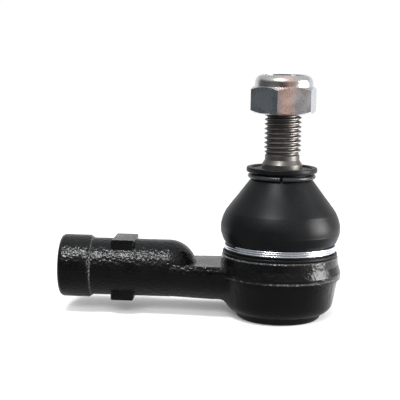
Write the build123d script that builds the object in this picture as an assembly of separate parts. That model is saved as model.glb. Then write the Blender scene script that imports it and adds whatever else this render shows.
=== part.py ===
from build123d import *
import math
import os

os.makedirs("parts", exist_ok=True)

# ---------------------------------------------------------------- sizes (mm)
# Origin: centre of the ball.  +Z runs up the stud, the shank runs along -X.

# ball stud
BALL_R = 11.0
BALL_FLAT_DEPTH = 0.8         # machined off the underside of the ball
NECK_R = 5.6                  # waist between ball and taper
NECK_LENGTH = 5.5             # waist above the ball
TAPER_RUN_IN = 3.5            # waist to the large end of the taper
TAPER_LENGTH = 15.6
TAPER_OUT = 0.5               # small end of the taper outside the thread's crest
TAPER_SLOPE = 0.05            # radius gained per mm, 1:10 on diameter
THREAD_R = 6.0                # M12 x 1.5
THREAD_PITCH = 1.5
FLARE_LENGTH = 1.4            # cone from the taper up to the relief
RELIEF_IN = 0.4               # relief below the thread, inside its crest
THREAD_GAP = 2.7              # relief and undercut below the thread
THREAD_LENGTH = 23.0

# ball seats, closing plate, spring
SEAT_WALL = 1.6               # thinnest wall of a seat, at the ball's middle
SEAT_HEIGHT = 5.0             # upper seat, above the ball's middle
SEAT_HOLE_IN = 6.0            # hole under the ball, smaller than the ball by this
SEAT_FIT = 0.03               # ball in its seats
SEAT_SPLIT = 0.3
ROLL_THICK = 1.0
ROLL_IN = 1.4                 # rolled rim reaches this far under the plate
PLATE_THICK = 1.3
SPRING_RISE = 1.0
SPRING_THICK = 0.5
SPRING_WIDTH = 5.8
CUP_FLOOR = 0.9               # lower seat below the ball's lowest point

# housing, head
HEAD_WALL = 6.9               # forged wall round the seats
FLASH_OUT = 0.6               # trimmed flash stands proud of the head
LEDGE_RISE = 1.0              # machined ledge above the upper seat
LEDGE_IN = 0.5                # ledge inside the head's largest radius
SPIGOT_IN = 3.0               # ledge left outside the spigot
SPIGOT_WALL = 3.5             # spigot round the flared mouth
SPIGOT_LIP = 0.8
SPIGOT_HEIGHT = 4.6
RIM_WALL = 1.3                # rim that is rolled round the closing plate
RIM_ROUND = 1.7               # its outer corner
MOUTH_IN = 0.7                # mouth smaller than the ball, so it can't pull out

# housing, shank
BORE_R = 7.0                  # M14 x 1.5 internal thread, bored to its root
BORE_LENGTH = 34.0
SHANK_WALL = 2.45
SHANK_LENGTH = 72.3           # ball centre to the end of the collar
SHANK_FLASH = 0.25
FLASH_THICK = 0.7
COLLAR_OUT = 0.85
COLLAR_LENGTH = 9.7
BOSS_TO_HEAD = 7.5            # rounded end of the boss to the head
WEB_TOP_Z = 2.7
WEB_OUT = 1.45                # web wider than the shank, each side
WEB_DEEPER = 0.35             # web deeper than the shank
WEB_FLARE = 14.0              # length over which the web widens
JUNCTION_R = 2.4
PAD_FROM_END = 21.1           # shank end to the middle of the spanner pads
PAD_LENGTH = 7.6
PAD_WIDTH = 13.4
PAD_OUT = 0.55                # pads stand proud of the shank

# dust boot and its rings
SOFT_FIT = 0.03               # rubber and rings against what they sit on
BEAD_HEIGHT = 1.15
BEAD_IN = 0.25                # bead foot inside the ledge
GROOVE_WALL = 1.62            # bead wall under the lower ring
LOWER_WIRE = 0.65             # wire diameter of the coiled lower ring
LOWER_TURNS = 2.9
LOWER_PITCH = 0.68
LOWER_END_DEG = 183.0
BOOT_BULGE = 1.83             # widest part of the boot outside its groove
BOOT_WALL = 1.75
BOOT_BULGE_RISE = 4.8         # groove to the widest part
# boot between its widest part and its neck: share of the rise, share of the radius left
BOOT_SHAPE = [(0.2, 0.945), (0.4, 0.775), (0.6, 0.52), (0.83, 0.23)]
BOOT_BELOW_TAPER = 1.0        # top of the boot to the taper's small end
BOOT_LIP_THICK = 1.7
BOOT_LIP_OUT = 1.9
BOOT_NECK_WALL = 1.6
UPPER_WIRE = 1.4
UPPER_RING_DROP = 2.95        # top of the boot to the middle of the upper ring
UPPER_GAP_DEG = 5.0
UPPER_SPLIT_DEG = -88.0
BUSH_WALL = 2.0               # bush radius outside the stud's thread
BUSH_LENGTH = 4.2
BUSH_FIT = 0.06

# lock nut
NUT_WALL = 3.75               # thread to the flats of the hex
NUT_STANDOFF = 12.3           # foot of the thread to the nut's underside
HEX_HEIGHT = 8.8
CROWN_HEIGHT = 3.6
CROWN_IN = 0.25               # crown inside the flats
NUT_FIT = 0.06                # nut bore over the stud thread
NYLON_WALL = 2.0
NYLON_HEIGHT = 2.4
NYLON_GAP = 0.03
NUT_TURN = 20.0               # degrees, where the hex happens to stand

# ------------------------------------------------ places that follow from them
ball_flat_z = BALL_FLAT_DEPTH - BALL_R
neck_top_z = BALL_R + NECK_LENGTH
taper_base_z = neck_top_z + TAPER_RUN_IN
taper_top_z = taper_base_z + TAPER_LENGTH
taper_top_r = THREAD_R + TAPER_OUT
relief_foot_z = taper_top_z + FLARE_LENGTH
thread_start_z = relief_foot_z + THREAD_GAP

socket_r = BALL_R + SEAT_WALL
ledge_z = SEAT_HEIGHT + LEDGE_RISE
spigot_top_z = ledge_z + SPIGOT_HEIGHT
cup_foot = -(BALL_R + CUP_FLOOR)
plate_top = cup_foot - SPRING_RISE
plate_floor = plate_top - PLATE_THICK
base_z = plate_floor - ROLL_THICK
roll_r = socket_r - ROLL_IN
rim_r = socket_r + RIM_WALL
head_r = socket_r + HEAD_WALL
ledge_r = head_r - LEDGE_IN
spigot_r = ledge_r - SPIGOT_IN
spigot_lip_r = spigot_r + SPIGOT_LIP
mouth_r = BALL_R - MOUTH_IN
mouth_top_r = spigot_r - SPIGOT_WALL

shank_r = BORE_R + SHANK_WALL
shank_end_x = -SHANK_LENGTH
collar_r = shank_r + COLLAR_OUT
boss_end_x = -(head_r + BOSS_TO_HEAD)
pad_x = shank_end_x + PAD_FROM_END
web_half_y = shank_r + WEB_OUT
web_depth = shank_r + WEB_DEEPER

bush_r = THREAD_R + BUSH_WALL
boot_neck_r = bush_r + BOOT_NECK_WALL
boot_lip_r = boot_neck_r + BOOT_LIP_OUT
boot_lip_top_z = taper_top_z - BOOT_BELOW_TAPER
upper_ring_z = boot_lip_top_z - UPPER_RING_DROP
lower_seat_r = spigot_r + GROOVE_WALL
boot_r = lower_seat_r + BOOT_BULGE

nut_across = 2 * (THREAD_R + NUT_WALL)
nut_bottom_z = thread_start_z + NUT_STANDOFF
crown_r = nut_across / 2 - CROWN_IN
nylon_r = THREAD_R + NYLON_WALL


# ------------------------------------------------------------------ helpers
def turned(points):
    """Solid of revolution about Z from closed (radius, height) points."""
    outline = Polyline(*[(r, 0, z) for r, z in points], close=True)
    return revolve(make_face(outline.edges()), axis=Axis.Z)


def along_x(points):
    """Solid of revolution about X from closed (x, radius) points."""
    outline = Polyline(*[(x, 0, r) for x, r in points], close=True)
    return revolve(make_face(outline.edges()), axis=Axis.X)


def block(x0, x1, y0, y1, z0, z1):
    size = (x1 - x0, y1 - y0, z1 - z0)
    return Pos((x0 + x1) / 2, (y0 + y1) / 2, (z0 + z1) / 2) * Box(*size)


def save(shape, node):
    export_step(shape, f"parts/{node}.step")


def taper_r(z):
    return taper_top_r + TAPER_SLOPE * (taper_top_z - z)


# ---------------------------------------------------------------- ball stud
core_r = THREAD_R - 0.61343 * THREAD_PITCH
thread_top = thread_start_z + THREAD_LENGTH
thread_foot = thread_start_z - 1.0
undercut_z = thread_start_z - 0.7
relief_r = THREAD_R - RELIEF_IN

shaft = turned([
    (0, 0), (NECK_R, 0), (NECK_R, neck_top_z),
    (taper_r(taper_base_z), taper_base_z), (taper_top_r, taper_top_z),
    (relief_r, relief_foot_z), (relief_r, undercut_z - 0.5), (core_r - 0.05, undercut_z),
    (core_r - 0.05, thread_start_z + 1.0), (0, thread_start_z + 1.0)])
shaft += Sphere(BALL_R) & block(-BALL_R, BALL_R, -BALL_R, BALL_R, ball_flat_z, BALL_R)

# the thread grows turn by turn on its core, then an envelope trims both ends
ridge_foot = 0.875 * THREAD_PITCH / 2
ridge_crest = 0.125 * THREAD_PITCH / 2
bury = 0.15
ridge_outline = Polyline(
    (core_r - bury, 0, -ridge_foot), (THREAD_R, 0, -ridge_crest),
    (THREAD_R, 0, ridge_crest), (core_r - bury, 0, ridge_foot), close=True)
one_turn = sweep(make_face(ridge_outline.edges()),
                 path=Helix(THREAD_PITCH, THREAD_PITCH, core_r), is_frenet=True)
thread = turned([(0, thread_foot - 2), (core_r, thread_foot - 2),
                 (core_r, thread_top + 2), (0, thread_top + 2)])
for turn in range(math.ceil((thread_top + 1 - thread_foot) / THREAD_PITCH)):
    thread += Pos(0, 0, thread_foot + turn * THREAD_PITCH) * one_turn
crest_r = THREAD_R + 0.02
thread &= turned([
    (0, thread_foot - 0.2), (core_r - 0.3, thread_foot - 0.2), (core_r - 0.02, thread_foot + 0.1),
    (crest_r, thread_start_z + 0.1), (crest_r, thread_top - 1.0), (core_r, thread_top),
    (0, thread_top)])
ball_stud = shaft + thread
save(ball_stud, "ball_stud")

# ------------------------------------------------------------------ housing
def arc(a, b, c):
    return ThreePointArc(*[(r, 0, z) for r, z in (a, b, c)])


corner_top = (rim_r + 3.9, base_z + 6.0)
corner_mid = (rim_r + 3.0, base_z + 3.8)
corner_foot = (rim_r + 1.0, base_z + 2.4)
head_above = Polyline(*[(r, 0, z) for r, z in [
    corner_top, (head_r, 0), (ledge_r, ledge_z - 0.3),
    (ledge_r - 0.3, ledge_z), (0, ledge_z), (0, base_z),
    (rim_r - RIM_ROUND, base_z)]])
rim_corner = arc((rim_r - RIM_ROUND, base_z), (rim_r - 0.29 * RIM_ROUND, base_z + 0.29 * RIM_ROUND),
                 (rim_r, base_z + RIM_ROUND))
rim_wall = Polyline((rim_r, 0, base_z + RIM_ROUND), (rim_r + 0.2, 0, base_z + 2.2),
                    (corner_foot[0], 0, corner_foot[1]))
head_outline = (head_above.edges() + rim_corner.edges() + rim_wall.edges()
                + arc(corner_foot, corner_mid, corner_top).edges())
head = revolve(make_face(head_outline), axis=Axis.Z)


def web_section(x, half_y, depth):
    """Cross-section of the forged web: half round below, flat above."""
    below = EllipticalCenterArc((0, 0), half_y, depth, start_angle=180, arc_size=180)
    above = Polyline((half_y, 0), (half_y - 0.25, WEB_TOP_Z * 0.45), (half_y - 0.9, WEB_TOP_Z),
                     (-half_y + 0.9, WEB_TOP_Z), (-half_y + 0.25, WEB_TOP_Z * 0.45), (-half_y, 0))
    plane = Plane(origin=(x, 0, 0), x_dir=(0, 1, 0), z_dir=(1, 0, 0))
    return plane * make_face(below.edges() + above.edges())


dome_x = boss_end_x - shank_r
web_start_x = dome_x - 4.0
web_full_x = dome_x + WEB_FLARE
web = loft([web_section(web_start_x, shank_r - 0.3, shank_r - 0.3),
            web_section(web_full_x, web_half_y, web_depth)], ruled=True)
web += extrude(web_section(web_full_x, web_half_y, web_depth), -web_full_x - socket_r + 4)

blank = head + web
junction = [e for e in blank.edges()
            if -head_r - 0.1 < e.center().X < -socket_r and abs(e.center().Y) < web_half_y + 0.3
            and e.geom_type not in (GeomType.CIRCLE, GeomType.LINE)]
blank = fillet(junction, JUNCTION_R)

end_round = 1.5
collar_x = shank_end_x + COLLAR_LENGTH
boss_line = Polyline(*[(x, 0, r) for x, r in [
    (shank_end_x + end_round, collar_r), (collar_x, collar_r), (collar_x + 1.3, shank_r),
    (dome_x, shank_r), (dome_x, 0), (shank_end_x, 0), (shank_end_x, collar_r - end_round)]])
boss_round = ThreePointArc(
    (shank_end_x, 0, collar_r - end_round),
    (shank_end_x + 0.293 * end_round, 0, collar_r - 0.293 * end_round),
    (shank_end_x + end_round, 0, collar_r))
boss = revolve(make_face(boss_line.edges() + boss_round.edges()), axis=Axis.X)
boss += Pos(dome_x, 0, 0) * Sphere(shank_r)

pad_z = shank_r + PAD_OUT
pad = block(pad_x - PAD_LENGTH / 2, pad_x + PAD_LENGTH / 2, -PAD_WIDTH / 2, PAD_WIDTH / 2,
            -pad_z, pad_z)
pad = fillet(pad.edges().filter_by(Axis.Z) + pad.edges().filter_by(Axis.Y), 0.7)
boss += pad

# trimmed flash along the parting plane
flash_side = [(shank_end_x + end_round, collar_r), (collar_x, collar_r),
              (collar_x + 1.3, shank_r), (dome_x, shank_r), (web_full_x, web_half_y), (0, web_half_y)]
flash_loop = ([(x, y + SHANK_FLASH) for x, y in flash_side]
              + [(x, -y - SHANK_FLASH) for x, y in reversed(flash_side)])
shank_flash = extrude(make_face(Polyline(*flash_loop, close=True).edges()),
                      FLASH_THICK / 2, both=True)
flash_r = head_r + FLASH_OUT
head_flash = turned([(0, -1.2), (flash_r, -1.2), (flash_r, 0.7), (head_r - 0.2, 3.2), (0, 3.2)])

spigot = turned([
    (0, ledge_z - 1), (spigot_r, ledge_z - 1), (spigot_r, spigot_top_z - 1.0),
    (spigot_lip_r, spigot_top_z - 1.0), (spigot_lip_r, spigot_top_z - 0.3),
    (spigot_lip_r - 0.3, spigot_top_z), (0, spigot_top_z)])
socket = turned([
    (0, base_z - 1), (roll_r, base_z - 1), (roll_r, base_z + ROLL_THICK),
    (socket_r, base_z + ROLL_THICK), (socket_r, SEAT_HEIGHT), (mouth_r, SEAT_HEIGHT),
    (mouth_top_r, spigot_top_z), (mouth_top_r + 0.2, spigot_top_z + 1), (0, spigot_top_z + 1)])
bore_end = shank_end_x + BORE_LENGTH
bore = along_x([
    (shank_end_x - 1, 0), (shank_end_x - 1, BORE_R + 2.0), (shank_end_x + 1.0, BORE_R),
    (bore_end, BORE_R), (bore_end + 3.0, 0)])

housing = blank + boss + shank_flash + head_flash + spigot - socket - bore
save(housing, "housing")

# ------------------------------------------- seats, spring and closing plate
seat_ball = Sphere(BALL_R + SEAT_FIT)
seat_hole_r = BALL_R - SEAT_HOLE_IN

upper_ball_seat = turned([
    (0, SEAT_SPLIT / 2), (socket_r, SEAT_SPLIT / 2), (socket_r, SEAT_HEIGHT),
    (0, SEAT_HEIGHT)]) - seat_ball
save(upper_ball_seat, "upper_ball_seat")

lower_ball_seat = turned([
    (seat_hole_r, cup_foot), (socket_r, cup_foot), (socket_r, -SEAT_SPLIT / 2),
    (seat_hole_r, -SEAT_SPLIT / 2)]) - seat_ball
save(lower_ball_seat, "lower_ball_seat")

spring_out = socket_r - 0.3
spring_hole_r = spring_out - SPRING_WIDTH
disc_spring = turned([
    (spring_hole_r, plate_top), (spring_out, cup_foot - SPRING_THICK),
    (spring_out, cup_foot), (spring_hole_r, plate_top + SPRING_THICK)])
save(disc_spring, "disc_spring")

closing_plate = turned([
    (0, plate_floor + 0.5), (roll_r - 3.0, plate_floor + 0.5), (roll_r - 1.8, plate_floor),
    (socket_r, plate_floor), (socket_r, plate_top), (0, plate_top)])
save(closing_plate, "closing_plate")

# -------------------------------------------------- dust boot and its rings
bead_hole = spigot_r + SOFT_FIT
bead_lip = spigot_lip_r + SOFT_FIT
bead_foot_z = ledge_z + SOFT_FIT
groove_foot_z = bead_foot_z + BEAD_HEIGHT
groove_top_z = groove_foot_z + LOWER_TURNS * LOWER_PITCH + LOWER_WIRE + 0.1
boot_widest_z = groove_top_z + BOOT_BULGE_RISE
bead_foot_r = ledge_r - BEAD_IN
neck_foot_z = upper_ring_z - UPPER_WIRE / 2 - 0.1
lip_foot_z = boot_lip_top_z - BOOT_LIP_THICK
bush_hole = bush_r + SOFT_FIT


def curve(points):
    return Spline(*[(r, 0, z) for r, z in points])


def straight(points):
    return Polyline(*[(r, 0, z) for r, z in points])


neck_corner = (boot_neck_r + 0.9, neck_foot_z - 0.4)
shoulder_out = [(lower_seat_r + 0.5, groove_top_z + 0.1),
                (boot_r - 0.5, (groove_top_z + boot_widest_z) / 2), (boot_r, boot_widest_z)]
for rise, left in BOOT_SHAPE:
    shoulder_out.append((neck_corner[0] + left * (boot_r - neck_corner[0]),
                         boot_widest_z + rise * (neck_corner[1] - boot_widest_z)))
shoulder_out.append(neck_corner)
shoulder_in = [(bush_r + 0.9, neck_foot_z - 1.6)]
for before, here, after in reversed(list(zip(shoulder_out, shoulder_out[1:], shoulder_out[2:]))):
    along_r, along_z = after[0] - before[0], after[1] - before[1]
    inward = BOOT_WALL / math.hypot(along_r, along_z)
    shoulder_in.append((here[0] - inward * along_z, here[1] + inward * along_r))
shoulder_in.append((bead_lip, spigot_top_z + 0.6))
boot_foot = straight([
    (bead_lip, spigot_top_z + 0.6), (bead_lip, spigot_top_z - 1.0 - SOFT_FIT),
    (bead_hole, spigot_top_z - 1.0 - SOFT_FIT), (bead_hole, bead_foot_z),
    (bead_foot_r - 0.3, bead_foot_z), (bead_foot_r, bead_foot_z + 0.3),
    (bead_foot_r - 0.1, groove_foot_z), (lower_seat_r, groove_foot_z),
    (lower_seat_r, groove_top_z), shoulder_out[0]])
boot_neck = straight([
    shoulder_out[-1], (boot_neck_r, neck_foot_z), (boot_neck_r, lip_foot_z),
    (boot_lip_r - 0.3, lip_foot_z), (boot_lip_r, lip_foot_z + 0.3),
    (boot_lip_r, boot_lip_top_z - 0.3), (boot_lip_r - 0.3, boot_lip_top_z),
    (boot_lip_r - 1.3, boot_lip_top_z), (boot_lip_r - 1.6, boot_lip_top_z - 0.6),
    (bush_hole, boot_lip_top_z - 0.6), (bush_hole, boot_lip_top_z - BUSH_LENGTH - 0.3),
    shoulder_in[0]])
boot_outline = (curve(shoulder_out).edges() + curve(shoulder_in).edges()
                + boot_foot.edges() + boot_neck.edges())
dust_boot = revolve(make_face(boot_outline), axis=Axis.Z)
save(dust_boot, "dust_boot")

coil_r = lower_seat_r + SOFT_FIT + LOWER_WIRE / 2
coil_foot_z = groove_foot_z + SOFT_FIT + LOWER_WIRE / 2
coil = Helix(LOWER_PITCH, LOWER_TURNS * LOWER_PITCH, coil_r, lefthand=True)
coil_end = Plane(origin=coil @ 0, z_dir=coil % 0) * Circle(LOWER_WIRE / 2)
boot_lower_ring = Pos(0, 0, coil_foot_z) * Rot(0, 0, LOWER_END_DEG) * sweep(
    coil_end, path=coil, is_frenet=True)
save(boot_lower_ring, "boot_lower_ring")

upper_r = boot_neck_r + SOFT_FIT + UPPER_WIRE / 2
wire_disc = Pos(upper_r, 0, upper_ring_z) * Rot(90, 0, 0) * Circle(UPPER_WIRE / 2)
boot_upper_ring = Rot(0, 0, UPPER_SPLIT_DEG) * revolve(
    wire_disc, axis=Axis.Z, revolution_arc=360 - UPPER_GAP_DEG)
save(boot_upper_ring, "boot_upper_ring")

bush_top = boot_lip_top_z - 0.4
bush_foot = bush_top - BUSH_LENGTH
boot_neck_bush = turned([
    (taper_r(bush_foot) + BUSH_FIT, bush_foot), (bush_r, bush_foot), (bush_r, bush_top - 0.25),
    (bush_r - 0.25, bush_top), (taper_r(bush_top) + BUSH_FIT, bush_top)])
save(boot_neck_bush, "boot_neck_bush")

# ----------------------------------------------------------------- lock nut
hex_top_z = nut_bottom_z + HEX_HEIGHT
nut_top_z = hex_top_z + CROWN_HEIGHT
corner_r = nut_across / 2 / math.cos(math.radians(30))
bevel = 0.577 * (corner_r - nut_across / 2 + 0.35)
nut_bore = THREAD_R + NUT_FIT

hexagon = Pos(0, 0, nut_bottom_z) * Rot(0, 0, NUT_TURN) * extrude(
    RegularPolygon(corner_r, 6), HEX_HEIGHT)
hex_envelope = turned([
    (0, nut_bottom_z), (nut_across / 2 - 0.35, nut_bottom_z), (corner_r, nut_bottom_z + bevel),
    (corner_r, hex_top_z - bevel), (nut_across / 2 - 0.35, hex_top_z), (0, hex_top_z)])
crown_line = straight([
    (0, hex_top_z - 1), (crown_r + 0.1, hex_top_z - 1), (crown_r - 0.15, nut_top_z - 2.4)])
crown_round = arc((crown_r - 0.15, nut_top_z - 2.4), (crown_r - 0.85, nut_top_z - 0.75),
                  (crown_r - 2.6, nut_top_z))
crown_top = straight([(crown_r - 2.6, nut_top_z), (0, nut_top_z), (0, hex_top_z - 1)])
crown = revolve(make_face(crown_line.edges() + crown_round.edges() + crown_top.edges()),
                axis=Axis.Z)
nylon_foot = hex_top_z + 0.5
nylon_top = nylon_foot + NYLON_HEIGHT
nut_hole = turned([
    (0, nut_bottom_z - 1), (nut_bore + 1.6, nut_bottom_z - 1), (nut_bore, nut_bottom_z + 0.6),
    (nut_bore, nylon_foot), (nylon_r, nylon_foot), (nylon_r, nylon_top),
    (nut_bore + 0.9, nylon_top), (nut_bore + 0.9, nut_top_z + 1), (0, nut_top_z + 1)])
lock_nut = (hexagon & hex_envelope) + crown - nut_hole
save(lock_nut, "lock_nut")

nylon_insert = turned([
    (nut_bore, nylon_foot + NYLON_GAP), (nylon_r - NYLON_GAP, nylon_foot + NYLON_GAP),
    (nylon_r - NYLON_GAP, nylon_top - NYLON_GAP), (nut_bore, nylon_top - NYLON_GAP)])
save(nylon_insert, "nylon_insert")
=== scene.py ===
import math

import bmesh
import bpy
from mathutils import Matrix, Vector


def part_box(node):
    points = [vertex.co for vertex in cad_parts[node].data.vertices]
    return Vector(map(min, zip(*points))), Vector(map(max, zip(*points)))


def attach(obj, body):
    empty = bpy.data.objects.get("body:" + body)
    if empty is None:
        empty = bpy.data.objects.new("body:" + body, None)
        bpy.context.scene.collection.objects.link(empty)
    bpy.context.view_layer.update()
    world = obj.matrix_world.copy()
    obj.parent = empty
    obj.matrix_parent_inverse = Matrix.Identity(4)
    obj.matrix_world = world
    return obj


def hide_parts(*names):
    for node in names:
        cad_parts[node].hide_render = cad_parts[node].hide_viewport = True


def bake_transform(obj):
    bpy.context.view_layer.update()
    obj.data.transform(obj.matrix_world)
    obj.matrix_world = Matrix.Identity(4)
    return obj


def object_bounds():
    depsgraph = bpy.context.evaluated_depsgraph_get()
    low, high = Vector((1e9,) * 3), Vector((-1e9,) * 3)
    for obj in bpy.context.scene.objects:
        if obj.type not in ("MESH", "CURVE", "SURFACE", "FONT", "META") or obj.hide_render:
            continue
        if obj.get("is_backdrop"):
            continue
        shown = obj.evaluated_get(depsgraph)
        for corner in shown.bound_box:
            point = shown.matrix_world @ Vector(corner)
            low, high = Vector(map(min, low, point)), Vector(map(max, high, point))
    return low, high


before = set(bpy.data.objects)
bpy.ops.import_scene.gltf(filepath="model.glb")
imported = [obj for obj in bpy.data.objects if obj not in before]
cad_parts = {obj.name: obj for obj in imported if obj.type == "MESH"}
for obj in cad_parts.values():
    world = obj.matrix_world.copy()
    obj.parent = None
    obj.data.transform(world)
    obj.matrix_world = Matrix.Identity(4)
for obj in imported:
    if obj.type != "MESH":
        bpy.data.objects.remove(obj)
cad_low, cad_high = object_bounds()

# ---------------------------------------------------------------------------
# Housing.  One drop-forged piece of steel: round socket, flat-topped web and
# hollow shank with its collar and spanner pads.  The dies leave the skin rough
# and a trimmed flash line round the middle, and it is dipped in gloss black.
MM = 0.001


def new_material(name):
    """A node material, its node tree and its Principled shader."""
    material = bpy.data.materials.new(name)
    material.use_nodes = True
    tree = material.node_tree
    return material, tree, tree.nodes["Principled BSDF"]


def new_group(name, inputs, outputs):
    """An empty shader group: (label, default) float inputs and output labels."""
    group = bpy.data.node_groups.new(name, "ShaderNodeTree")
    for label, value in inputs:
        socket = group.interface.new_socket(label, in_out="INPUT", socket_type="NodeSocketFloat")
        socket.default_value = value
    for label in outputs:
        group.interface.new_socket(label, in_out="OUTPUT", socket_type="NodeSocketFloat")
    return group, group.nodes.new("NodeGroupInput"), group.nodes.new("NodeGroupOutput")


def use_group(tree, group, values):
    node = tree.nodes.new("ShaderNodeGroup")
    node.node_tree = group
    for label, value in values.items():
        if isinstance(value, bpy.types.NodeSocket):
            tree.links.new(value, node.inputs[label])
        else:
            node.inputs[label].default_value = value
    return node.outputs


def math_node(tree, operation, *values):
    node = tree.nodes.new("ShaderNodeMath")
    node.operation = operation
    for slot, value in zip(node.inputs, values):
        if isinstance(value, bpy.types.NodeSocket):
            tree.links.new(value, slot)
        else:
            slot.default_value = value
    return node.outputs[0]


def ramp_node(tree, value, low, high, to_low, to_high):
    node = tree.nodes.new("ShaderNodeMapRange")
    node.interpolation_type = "SMOOTHSTEP"
    tree.links.new(value, node.inputs["Value"])
    for label, number in (("From Min", low), ("From Max", high),
                          ("To Min", to_low), ("To Max", to_high)):
        node.inputs[label].default_value = number
    return node.outputs["Result"]


def blend_colours(tree, mask, first, second):
    """Colour that goes from first to second as the mask rises; either may be a socket."""
    node = tree.nodes.new("ShaderNodeMix")
    node.data_type = "RGBA"
    tree.links.new(mask, node.inputs["Factor"])
    for label, colour in (("A", first), ("B", second)):
        slot = [s for s in node.inputs if s.name == label and s.type == "RGBA"][0]
        if isinstance(colour, bpy.types.NodeSocket):
            tree.links.new(colour, slot)
        else:
            slot.default_value = (*colour, 1)
    return [s for s in node.outputs if s.type == "RGBA"][0]


def noise_node(tree, where, scale, detail, roughness=0.55):
    node = tree.nodes.new("ShaderNodeTexNoise")
    tree.links.new(where, node.inputs["Vector"])
    if isinstance(scale, bpy.types.NodeSocket):
        tree.links.new(scale, node.inputs["Scale"])
    else:
        node.inputs["Scale"].default_value = scale
    node.inputs["Detail"].default_value = detail
    node.inputs["Roughness"].default_value = roughness
    return node.outputs["Fac"]


def bump_node(tree, height, depth_mm, strength=1.0):
    node = tree.nodes.new("ShaderNodeBump")
    node.inputs["Strength"].default_value = strength
    node.inputs["Distance"].default_value = depth_mm * MM
    tree.links.new(height, node.inputs["Height"])
    return node.outputs["Normal"]


def object_place(tree):
    """Object coordinates and the radius from the Z and from the X axis."""
    where = tree.nodes.new("ShaderNodeTexCoord").outputs["Object"]
    split = tree.nodes.new("ShaderNodeSeparateXYZ")
    tree.links.new(where, split.inputs[0])
    x, y, z = split.outputs
    squares = [math_node(tree, "MULTIPLY", v, v) for v in (x, y, z)]
    from_z = math_node(tree, "SQRT", math_node(tree, "ADD", squares[0], squares[1]))
    from_x = math_node(tree, "SQRT", math_node(tree, "ADD", squares[1], squares[2]))
    return where, (x, y, z), from_z, from_x


def make_band():
    """1 inside Centre +- Half, falling to 0 over Soft."""
    group, given, made = new_group("band", [("Value", 0.0), ("Centre", 0.0), ("Half", 0.001),
                                            ("Soft", 0.0002)], ["Mask"])
    away = math_node(group, "ABSOLUTE",
                     math_node(group, "SUBTRACT", given.outputs["Value"], given.outputs["Centre"]))
    over = math_node(group, "SUBTRACT", away, given.outputs["Half"])
    fall = math_node(group, "DIVIDE", over, given.outputs["Soft"])
    mask = math_node(group, "SUBTRACT", 1.0, fall)
    group.nodes[-1].use_clamp = True
    group.links.new(mask, made.inputs["Mask"])
    return group


def make_rough_skin():
    """Rough skin: Height for a bump, Patch for slow changes, Specks for bright flecks."""
    group, given, made = new_group("rough_skin", [("Grain", 1400.0), ("Waves", 420.0),
                                                  ("Patches", 90.0)], ["Height", "Patch", "Specks"])
    where = group.nodes.new("ShaderNodeTexCoord").outputs["Object"]
    grain = noise_node(group, where, given.outputs["Grain"], 4.0, 0.62)
    waves = noise_node(group, where, given.outputs["Waves"], 2.0, 0.5)
    patch = noise_node(group, where, given.outputs["Patches"], 3.0, 0.55)
    height = math_node(group, "MULTIPLY_ADD", waves, 1.4, math_node(group, "MULTIPLY", grain, 0.8))
    group.links.new(height, made.inputs["Height"])
    group.links.new(patch, made.inputs["Patch"])
    group.links.new(ramp_node(group, grain, 0.56, 0.66, 0.0, 1.0), made.inputs["Specks"])
    return group


def finish_node(node, material):
    """Gives a carried-over CAD node its finish."""
    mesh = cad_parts[node].data
    mesh.materials.clear()
    mesh.materials.append(material)


band = make_band()
rough_skin = make_rough_skin()

forging_paint, tree, shader = new_material("forging_paint")
where, (x, y, z), from_z, from_x = object_place(tree)
skin = use_group(tree, rough_skin, {"Grain": 1500.0, "Waves": 520.0, "Patches": 110.0})


def line_at(tree, first, centre, half, second, centre_2, half_2):
    """Mask of a narrow line where two measures meet their values, in mm."""
    masks = [use_group(tree, band, {"Value": v, "Centre": c * MM, "Half": h * MM,
                                    "Soft": 0.25 * MM})["Mask"]
             for v, c, h in ((first, centre, half), (second, centre_2, half_2))]
    return math_node(tree, "MULTIPLY", *masks)


# painted glints, laid on as bare bright steel: the ledge's edge, the trimmed flash on the outer
# side, the collar's step
ledge_edge = line_at(tree, z, 5.85, 0.12, from_z, 18.9, 0.2)
flash_edge = line_at(tree, z, -0.45, 0.12, from_z, 20.0, 0.3)
collar_step = line_at(tree, x, -61.70, 0.05, from_x, 9.75, 0.30)
# painted glint: the flash line is brightest on the right and fades towards the left
flash_edge = math_node(tree, "MULTIPLY", flash_edge, ramp_node(tree, x, -8 * MM, 4 * MM, 0.2, 1.0))
painted_glint_lines = math_node(tree, "MAXIMUM", math_node(tree, "MAXIMUM", ledge_edge, flash_edge), collar_step)
painted_glint_lines = math_node(tree, "MULTIPLY", painted_glint_lines, math_node(tree, "ADD", skin["Specks"], 0.08))
bore_wall = line_at(tree, from_x, 3.5, 3.45, x, -54.4, 17.2)
# bare steel: the tapped bore wall, and the painted glint lines
bore_and_glints = math_node(tree, "MAXIMUM", math_node(tree, "MULTIPLY", painted_glint_lines, 0.8), bore_wall)
paint = blend_colours(tree, skin["Patch"], (0.0008, 0.0008, 0.0009), (0.0028, 0.0027, 0.0027))
tree.links.new(blend_colours(tree, bore_and_glints, paint, (0.42, 0.41, 0.40)), shader.inputs["Base Color"])
gloss = ramp_node(tree, skin["Patch"], 0.35, 0.65, 0.16, 0.28)
tree.links.new(math_node(tree, "MAXIMUM", gloss, math_node(tree, "MULTIPLY", bore_and_glints, 0.38)),
               shader.inputs["Roughness"])
tree.links.new(bore_and_glints, shader.inputs["Metallic"])
# pebbled forging skin, half as deep on the socket as on the shank
pebbles = noise_node(tree, where, 1100.0, 1.0, 0.5)
pebbles = math_node(tree, "MULTIPLY", pebbles, ramp_node(tree, x, -27 * MM, -15 * MM, 1.0, 0.5))
tree.links.new(bump_node(tree, pebbles, 0.27), shader.inputs["Normal"])
shader.inputs["Specular IOR Level"].default_value = 0.32
finish_node("housing", forging_paint)

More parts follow.
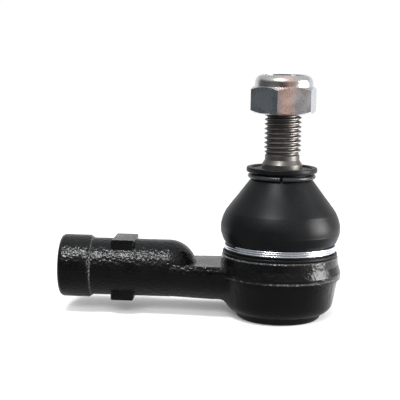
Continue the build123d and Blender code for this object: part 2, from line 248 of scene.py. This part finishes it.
# Thread of the shank, M14 x 1.5: cut with a tap after forging and left bare.
# Modelled as one ridge that winds down the bore, its foot just inside the wall.
THREAD_PITCH = 1.5 * MM
THREAD_TURNS = 22
TURN_STEPS = 48
THREAD_INSET = 1.7 * MM
bore_foot = Vector((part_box("housing")[0].x + THREAD_INSET, 0, 0))
bm = bmesh.new()
ridge = [bm.verts.new(bore_foot + Vector((along * MM, 0, radius * MM)))
         for along, radius in ((-0.66, 7.05), (-0.12, 6.19), (0.12, 6.19), (0.66, 7.05))]
start_cap = bm.faces.new(ridge)
bmesh.ops.spin(bm, geom=[start_cap], cent=(0, 0, 0), axis=(1, 0, 0),
               dvec=(THREAD_PITCH / TURN_STEPS, 0, 0),
               angle=2 * math.pi * THREAD_TURNS, steps=TURN_STEPS * THREAD_TURNS)
bmesh.ops.remove_doubles(bm, verts=bm.verts, dist=1e-7)
bmesh.ops.recalc_face_normals(bm, faces=bm.faces)
bore_mesh = bpy.data.meshes.new("bore_thread")
bm.to_mesh(bore_mesh)
bm.free()
bore_thread = bpy.data.objects.new("bore_thread", bore_mesh)
bpy.context.scene.collection.objects.link(bore_thread)

cut_steel, tree, shader = new_material("cut_steel")
skin = use_group(tree, rough_skin, {"Grain": 3000.0, "Waves": 900.0, "Patches": 260.0})
tree.links.new(blend_colours(tree, skin["Patch"], (0.24, 0.23, 0.22), (0.44, 0.43, 0.41)),
               shader.inputs["Base Color"])
tree.links.new(ramp_node(tree, skin["Patch"], 0.3, 0.7, 0.24, 0.42), shader.inputs["Roughness"])
tree.links.new(bump_node(tree, skin["Height"], 0.01), shader.inputs["Normal"])
shader.inputs["Metallic"].default_value = 1.0
bore_mesh.materials.append(cut_steel)
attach(bore_thread, "socket")

# ---------------------------------------------------------------------------
# Ball seats.  Two rings of white acetal, turned to the ball and greased.
acetal, tree, shader = new_material("acetal")
skin = use_group(tree, rough_skin, {"Grain": 2600.0, "Waves": 700.0, "Patches": 160.0})
tree.links.new(blend_colours(tree, skin["Patch"], (0.62, 0.60, 0.53), (0.80, 0.79, 0.73)),
               shader.inputs["Base Color"])
tree.links.new(ramp_node(tree, skin["Patch"], 0.3, 0.7, 0.28, 0.45), shader.inputs["Roughness"])
tree.links.new(bump_node(tree, skin["Height"], 0.01), shader.inputs["Normal"])
shader.inputs["Subsurface Weight"].default_value = 0.05
finish_node("upper_ball_seat", acetal)
finish_node("lower_ball_seat", acetal)

# ---------------------------------------------------------------------------
# Disc spring and closing plate.  A blued cone washer pushes the lower seat up,
# and the pressed plate under it is held by the rolled rim and painted with it.
spring_steel, tree, shader = new_material("spring_steel")
skin = use_group(tree, rough_skin, {"Grain": 2600.0, "Waves": 600.0, "Patches": 200.0})
tree.links.new(blend_colours(tree, skin["Patch"], (0.10, 0.11, 0.16), (0.24, 0.24, 0.27)),
               shader.inputs["Base Color"])
tree.links.new(ramp_node(tree, skin["Patch"], 0.3, 0.7, 0.25, 0.42), shader.inputs["Roughness"])
tree.links.new(bump_node(tree, skin["Height"], 0.01), shader.inputs["Normal"])
shader.inputs["Metallic"].default_value = 1.0
finish_node("disc_spring", spring_steel)

plate_paint, tree, shader = new_material("plate_paint")
skin = use_group(tree, rough_skin, {"Grain": 2400.0, "Waves": 700.0, "Patches": 120.0})
_, _, from_z, _ = object_place(tree)
# scuffed in the middle, where the plate is pressed home
scuffed = ramp_node(tree, from_z, 7 * MM, 10 * MM, 0.5, 0.0)
scuffs = math_node(tree, "MULTIPLY", skin["Specks"], scuffed)
paint = blend_colours(tree, skin["Patch"], (0.008, 0.008, 0.009), (0.018, 0.018, 0.018))
tree.links.new(blend_colours(tree, scuffs, paint, (0.20, 0.19, 0.18)), shader.inputs["Base Color"])
tree.links.new(ramp_node(tree, skin["Patch"], 0.3, 0.7, 0.26, 0.42), shader.inputs["Roughness"])
tree.links.new(bump_node(tree, skin["Height"], 0.03, 0.6), shader.inputs["Normal"])
finish_node("closing_plate", plate_paint)

# ---------------------------------------------------------------------------
# Ball stud.  Cold-forged and turned steel with a rolled M12 x 1.5 thread, all
# of it phosphated dark grey; the thread's crests are polished lighter where
# tools and gauges have run over them, and the ball is lighter still.
phosphated, tree, shader = new_material("phosphated_steel")
_, (_, _, z), from_z, _ = object_place(tree)
skin = use_group(tree, rough_skin, {"Grain": 3200.0, "Waves": 1100.0, "Patches": 240.0})
crest = ramp_node(tree, from_z, 5.62 * MM, 5.98 * MM, 0.0, 1.0)
on_thread = ramp_node(tree, z, 39.2 * MM, 40.0 * MM, 0.0, 1.0)
crest = math_node(tree, "MULTIPLY", crest, on_thread)
worn = math_node(tree, "MULTIPLY", crest, ramp_node(tree, skin["Patch"], 0.35, 0.6, 0.45, 1.0))
steel = blend_colours(tree, skin["Patch"], (0.085, 0.080, 0.073), (0.155, 0.145, 0.135))
steel = blend_colours(tree, worn, steel, (0.30, 0.275, 0.27))
ball = ramp_node(tree, z, 10.8 * MM, 11.4 * MM, 1.0, 0.0)
tree.links.new(blend_colours(tree, ball, steel, (0.58, 0.57, 0.55)), shader.inputs["Base Color"])
dull = ramp_node(tree, skin["Patch"], 0.3, 0.7, 0.36, 0.50)
dull = math_node(tree, "SUBTRACT", dull, math_node(tree, "MULTIPLY", ball, 0.24))
tree.links.new(dull, shader.inputs["Roughness"])
lines = tree.nodes.new("ShaderNodeCombineXYZ")
tree.links.new(z, lines.inputs["Z"])
tool_marks = noise_node(tree, lines.outputs[0], 5200.0, 2.0, 0.5)
marks = math_node(tree, "MULTIPLY", tool_marks, ramp_node(tree, z, 38.0 * MM, 39.0 * MM, 0.8, 0.0))
marks = math_node(tree, "ADD", marks, math_node(tree, "MULTIPLY", skin["Height"], 0.5))
tree.links.new(bump_node(tree, marks, 0.02), shader.inputs["Normal"])
shader.inputs["Metallic"].default_value = 0.92
finish_node("ball_stud", phosphated)

# ---------------------------------------------------------------------------
# Dust boot.  Moulded satin-black rubber: a thick bead under the lower ring, a
# bulged skirt with a fine mould line, and a flat lip round the neck.  It is
# modelled in two halves that meet in one ring.
BOOT_STEPS = 72
# radius and height in mm; True marks a ring that stays sharp
SEAM_OUT, SEAM_IN = (18.05, 20.0), (16.45, 19.15)
LOWER_SKIN = [
    (16.03, 6.03, True), (18.25, 6.03, False), (18.70, 6.16, False), (18.78, 6.60, False),
    (18.70, 7.02, False), (18.40, 7.18, False), (17.62, 7.18, True), (17.62, 9.88, True),
    (18.10, 9.98, False), (18.62, 10.8, False), (19.05, 11.9, False), (19.38, 13.0, False),
    (19.46, 13.35, False), (19.55, 13.55, False), (19.49, 13.75, False), (19.57, 14.8, False),
    (19.48, 16.1, False), (19.15, 17.4, False), (18.66, 18.75, False), (*SEAM_OUT, True),
    (*SEAM_IN, True), (16.95, 18.2, False), (17.30, 17.2, False), (17.70, 15.6, False),
    (17.70, 14.0, False), (17.35, 12.4, False), (16.86, 11.2, True), (16.83, 9.57, True),
    (16.03, 9.57, True)]
UPPER_SKIN = [
    (*SEAM_OUT, True), (17.48, 20.85, False), (16.86, 21.7, False), (15.88, 23.0, False),
    (14.85, 24.3, False), (13.68, 25.8, False), (12.50, 27.35, False), (11.45, 28.75, False),
    (10.62, 29.85, False), (10.13, 30.5, False), (9.78, 30.85, False), (9.60, 31.1, False),
    (9.60, 32.6, False), (9.66, 32.88, True), (11.15, 32.92, False), (11.48, 33.1, False),
    (11.52, 33.75, False), (11.48, 34.42, False), (11.2, 34.6, False), (10.35, 34.58, False),
    (10.0, 34.40, False), (9.85, 34.02, True), (8.03, 34.0, True), (8.03, 30.1, True),
    (8.86, 29.2, False), (9.70, 28.1, False), (10.75, 26.75, False), (12.10, 25.0, False),
    (13.90, 23.35, False), (15.30, 21.65, False), (15.90, 20.4, False), (*SEAM_IN, True)]


def turned_skin(name, outline):
    """Closed outline spun round Z, smoothed between its sharp rings."""
    bm = bmesh.new()
    sharp = bm.verts.layers.int.new("sharp_ring")
    crease = bm.edges.layers.float.new("crease_edge")
    ring = []
    for radius, height, keep in outline:
        ring.append(bm.verts.new((radius * MM, 0, height * MM)))
        ring[-1][sharp] = int(keep)
    edges = [bm.edges.new(pair) for pair in zip(ring, ring[1:] + ring[:1])]
    bmesh.ops.spin(bm, geom=ring + edges, cent=(0, 0, 0), axis=(0, 0, 1),
                   angle=2 * math.pi, steps=BOOT_STEPS, use_merge=True)
    bmesh.ops.remove_doubles(bm, verts=bm.verts, dist=1e-7)
    bmesh.ops.recalc_face_normals(bm, faces=bm.faces)
    for edge in bm.edges:
        a, b = edge.verts
        level = abs(a.co.z - b.co.z) < 1e-7 and abs(a.co.xy.length - b.co.xy.length) < 1e-7
        if a[sharp] and b[sharp] and level:
            edge[crease] = 1.0
            edge.smooth = False
    for face in bm.faces:
        face.smooth = True
    mesh = bpy.data.meshes.new(name)
    bm.to_mesh(mesh)
    bm.free()
    piece = bpy.data.objects.new(name, mesh)
    bpy.context.scene.collection.objects.link(piece)
    rounding = piece.modifiers.new("rounding", "SUBSURF")
    rounding.levels = rounding.render_levels = 2
    graph = bpy.context.evaluated_depsgraph_get()
    piece.data = bpy.data.meshes.new_from_object(piece.evaluated_get(graph))
    piece.data.name = name
    piece.modifiers.clear()
    return piece


boot_rubber, tree, shader = new_material("boot_rubber")
_, (_, _, z), _, _ = object_place(tree)
skin = use_group(tree, rough_skin, {"Grain": 2400.0, "Waves": 480.0, "Patches": 85.0})
dust = math_node(tree, "MULTIPLY", skin["Specks"], ramp_node(tree, z, 12 * MM, 27 * MM, 0.15, 0.7))
rubber = blend_colours(tree, skin["Patch"], (0.0014, 0.0016, 0.0020), (0.0034, 0.0036, 0.0040))
tree.links.new(blend_colours(tree, dust, rubber, (0.012, 0.0125, 0.013)),
               shader.inputs["Base Color"])
tree.links.new(ramp_node(tree, skin["Patch"], 0.3, 0.7, 0.34, 0.46), shader.inputs["Roughness"])
tree.links.new(bump_node(tree, skin["Height"], 0.02, 0.7), shader.inputs["Normal"])
shader.inputs["Specular IOR Level"].default_value = 0.18

boot_skirt = turned_skin("boot_skirt", LOWER_SKIN)
boot_crown = turned_skin("boot_crown", UPPER_SKIN)
for piece in (boot_skirt, boot_crown):
    piece.data.materials.clear()
    piece.data.materials.append(boot_rubber)
    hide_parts("dust_boot")
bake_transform(boot_skirt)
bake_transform(boot_crown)

# ---------------------------------------------------------------------------
# Lower ring.  Bright zinc-plated spring wire, three turns side by side that
# press the bead of the boot into its groove on the spigot.
bright_wire, tree, shader = new_material("bright_wire")
skin = use_group(tree, rough_skin, {"Grain": 2800.0, "Waves": 300.0, "Patches": 70.0})
tree.links.new(blend_colours(tree, skin["Patch"], (0.72, 0.76, 0.82), (0.90, 0.92, 0.95)),
               shader.inputs["Base Color"])
tree.links.new(ramp_node(tree, skin["Patch"], 0.3, 0.7, 0.20, 0.28), shader.inputs["Roughness"])
tree.links.new(bump_node(tree, skin["Height"], 0.002), shader.inputs["Normal"])
shader.inputs["Metallic"].default_value = 1.0
finish_node("boot_lower_ring", bright_wire)

# ---------------------------------------------------------------------------
# Neck bush.  A plain moulded ring of dull black plastic that turns on the
# stud's taper, so the boot stays still while the stud spins.
bush_plastic, tree, shader = new_material("bush_plastic")
skin = use_group(tree, rough_skin, {"Grain": 3000.0, "Waves": 600.0, "Patches": 200.0})
tree.links.new(blend_colours(tree, skin["Patch"], (0.014, 0.014, 0.015), (0.030, 0.030, 0.031)),
               shader.inputs["Base Color"])
tree.links.new(ramp_node(tree, skin["Patch"], 0.3, 0.7, 0.45, 0.60), shader.inputs["Roughness"])
tree.links.new(bump_node(tree, skin["Height"], 0.015), shader.inputs["Normal"])
finish_node("boot_neck_bush", bush_plastic)

# ---------------------------------------------------------------------------
# Upper ring.  One turn of round spring wire with a black oxide skin, snapped
# round the neck of the boot under its lip; the gap shows at the front.
black_wire, tree, shader = new_material("black_wire")
skin = use_group(tree, rough_skin, {"Grain": 2600.0, "Waves": 500.0, "Patches": 220.0})
tree.links.new(blend_colours(tree, skin["Patch"], (0.018, 0.018, 0.019), (0.050, 0.050, 0.052)),
               shader.inputs["Base Color"])
tree.links.new(ramp_node(tree, skin["Patch"], 0.3, 0.7, 0.24, 0.38), shader.inputs["Roughness"])
tree.links.new(bump_node(tree, skin["Height"], 0.008), shader.inputs["Normal"])
shader.inputs["Metallic"].default_value = 0.6
finish_node("boot_upper_ring", black_wire)

# ---------------------------------------------------------------------------
# Lock nut.  A steel hex with a crimped round crown, bright zinc plated with a
# faint blue and straw bloom, and a painted warm reflection on the front flat;
# the nylon ring in the crown grips the stud.
zinc_plate, tree, shader = new_material("zinc_plate")
where, (x, y, _), _, _ = object_place(tree)
skin = use_group(tree, rough_skin, {"Grain": 2300.0, "Waves": 650.0, "Patches": 170.0})
bloom = noise_node(tree, where, 75.0, 2.0)
plate = blend_colours(tree, ramp_node(tree, bloom, 0.35, 0.65, 0.0, 1.0),
                      (0.58, 0.62, 0.67), (0.66, 0.63, 0.59))
# painted warm reflection on the front flat, coloured as a straw passivation tint
straw_tint_and_reflection = use_group(tree, band, {"Value": x, "Centre": 0.9 * MM, "Half": 0.4 * MM, "Soft": 3.2 * MM})
straw_tint_and_reflection = math_node(tree, "MULTIPLY", straw_tint_and_reflection["Mask"], ramp_node(tree, y, -8 * MM, -5 * MM, 1.0, 0.0))
plate = blend_colours(tree, straw_tint_and_reflection, plate, (0.98, 0.74, 0.66))
tree.links.new(blend_colours(tree, skin["Specks"], plate, (0.40, 0.40, 0.41)),
               shader.inputs["Base Color"])
tree.links.new(ramp_node(tree, skin["Patch"], 0.3, 0.7, 0.20, 0.32), shader.inputs["Roughness"])
tree.links.new(bump_node(tree, skin["Height"], 0.02, 0.8), shader.inputs["Normal"])
shader.inputs["Metallic"].default_value = 1.0
finish_node("lock_nut", zinc_plate)

nylon, tree, shader = new_material("nylon")
skin = use_group(tree, rough_skin, {"Grain": 3000.0, "Waves": 600.0, "Patches": 240.0})
tree.links.new(blend_colours(tree, skin["Patch"], (0.045, 0.12, 0.34), (0.075, 0.17, 0.45)),
               shader.inputs["Base Color"])
tree.links.new(ramp_node(tree, skin["Patch"], 0.3, 0.7, 0.32, 0.48), shader.inputs["Roughness"])
tree.links.new(bump_node(tree, skin["Height"], 0.012), shader.inputs["Normal"])
finish_node("nylon_insert", nylon)

# ---------------------------------------------------------------------------
# Studio.  A sheet of white paper, a wide softbox low in front, a small one high
# above it, a tall one at the right, and a white surround.  Matt surfaces are
# lit by the whole surround; gloss sees a dim room with a bright back and top.
PAPER_HALF = 0.26
PAPER_PLACE = (-0.026, 0.05, cad_low.z - 0.05 * MM)
bm = bmesh.new()
bmesh.ops.create_grid(bm, x_segments=1, y_segments=1, size=PAPER_HALF,
                      matrix=Matrix.Translation(PAPER_PLACE))
floor_mesh = bpy.data.meshes.new("paper_floor")
bm.to_mesh(floor_mesh)
bm.free()
floor = bpy.data.objects.new("paper_floor", floor_mesh)
bpy.context.scene.collection.objects.link(floor)
paper, tree, shader = new_material("white_paper")
_, (_, y, _), _, _ = object_place(tree)
# painted shade: in reflections the paper is dark in front of the part and light behind it
gloss_floor_painted_shade = blend_colours(tree, ramp_node(tree, y, -0.03, 0.04, 0.0, 1.0), (0.09, 0.09, 0.09),
                      (0.85, 0.86, 0.88))
in_gloss = tree.nodes.new("ShaderNodeLightPath").outputs["Is Glossy Ray"]
tree.links.new(blend_colours(tree, in_gloss, (0.94, 0.94, 0.94), gloss_floor_painted_shade),
               shader.inputs["Base Color"])
shader.inputs["Roughness"].default_value = 0.9
shader.inputs["Specular IOR Level"].default_value = 0.1
floor_mesh.materials.append(paper)
floor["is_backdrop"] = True

world = bpy.data.worlds.new("studio")
bpy.context.scene.world = world
world.use_nodes = True
world.cycles.sampling_method = "NONE"
tree = world.node_tree
heading = tree.nodes.new("ShaderNodeTexCoord").outputs["Generated"]
split = tree.nodes.new("ShaderNodeSeparateXYZ")
tree.links.new(heading, split.inputs[0])
x, y, z = split.outputs
room = blend_colours(tree, ramp_node(tree, x, -0.7, 0.7, 0.0, 1.0),
                     (0.085, 0.100, 0.115), (0.32, 0.27, 0.25))
narrow = ramp_node(tree, math_node(tree, "ABSOLUTE", x), 0.12, 0.5, 1.0, 0.0)
ahead = math_node(tree, "MULTIPLY", narrow, ramp_node(tree, y, -0.5, 0.1, 1.0, 0.0))
room = blend_colours(tree, ahead, room, (0.022, 0.022, 0.024))
behind = math_node(tree, "MULTIPLY", ramp_node(tree, y, 0.25, 0.8, 0.0, 1.0),
                   ramp_node(tree, z, 0.25, 0.65, 1.0, 0.05))
room = blend_colours(tree, behind, room, (0.95, 0.95, 0.95))
ceiling = ramp_node(tree, z, 0.28, 0.70, 0.0, 0.75)
room = blend_colours(tree, ceiling, room, (0.80, 0.84, 0.88))
in_gloss = tree.nodes.new("ShaderNodeLightPath").outputs["Is Glossy Ray"]
dome = blend_colours(tree, ramp_node(tree, y, -0.6, 0.6, 1.0, 0.0),
                     (0.32, 0.32, 0.32), (1.15, 1.15, 1.15))
seen = tree.nodes.new("ShaderNodeLightPath").outputs["Is Camera Ray"]
dome = blend_colours(tree, seen, dome, (1.03, 1.03, 1.03))
tree.links.new(blend_colours(tree, in_gloss, dome, room), tree.nodes["Background"].inputs["Color"])

middle = Vector((-0.026, 0, 0.020))
for name, place, wide, high, watts, mirrored in (
        ("front_box", (-0.05, -0.50, 0.25), 0.36, 0.20, 3.0, False),
        ("top_box", (-0.12, -0.26, 0.42), 0.14, 0.08, 1.7, True),
        ("right_box", (0.50, -0.06, 0.12), 0.26, 0.36, 5.0, True)):
    lamp_data = bpy.data.lights.new(name, "AREA")
    lamp_data.shape = "RECTANGLE"
    lamp_data.size, lamp_data.size_y, lamp_data.energy = wide, high, watts
    lamp = bpy.data.objects.new(name, lamp_data)
    bpy.context.scene.collection.objects.link(lamp)
    lamp.visible_glossy = mirrored
    lamp.location = place
    lamp.rotation_euler = (middle - Vector(place)).to_track_quat("-Z", "Y").to_euler()

# Camera: a long lens a little above the part, held slightly off level.
CAMERA_LEFT, CAMERA_UP, CAMERA_AWAY = (v * MM for v in (26.45, 23.02, 384.4))
LENS = 105.06
RISE, SIDE, TILT = (math.radians(v) for v in (8.02, 4.0, 1.0))
back = Vector((math.sin(SIDE) * math.cos(RISE), -math.cos(SIDE) * math.cos(RISE), math.sin(RISE)))
level = Vector((math.cos(SIDE), math.sin(SIDE), 0))
upright = back.cross(level).normalized()
across = level * math.cos(TILT) + upright * math.sin(TILT)
upward = upright * math.cos(TILT) - level * math.sin(TILT)
eye = upright * CAMERA_UP - level * CAMERA_LEFT + back * CAMERA_AWAY
camera_data = bpy.data.cameras.new("camera")
camera_data.sensor_width = 36.0
camera_data.lens = LENS
camera_data.clip_start = 0.01
camera = bpy.data.objects.new("camera", camera_data)
bpy.context.scene.collection.objects.link(camera)
camera.matrix_world = Matrix((across, upward, back)).transposed().to_4x4()
camera.location = eye
bpy.context.scene.camera = camera
bpy.context.scene.view_settings.view_transform = "Standard"

low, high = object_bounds()
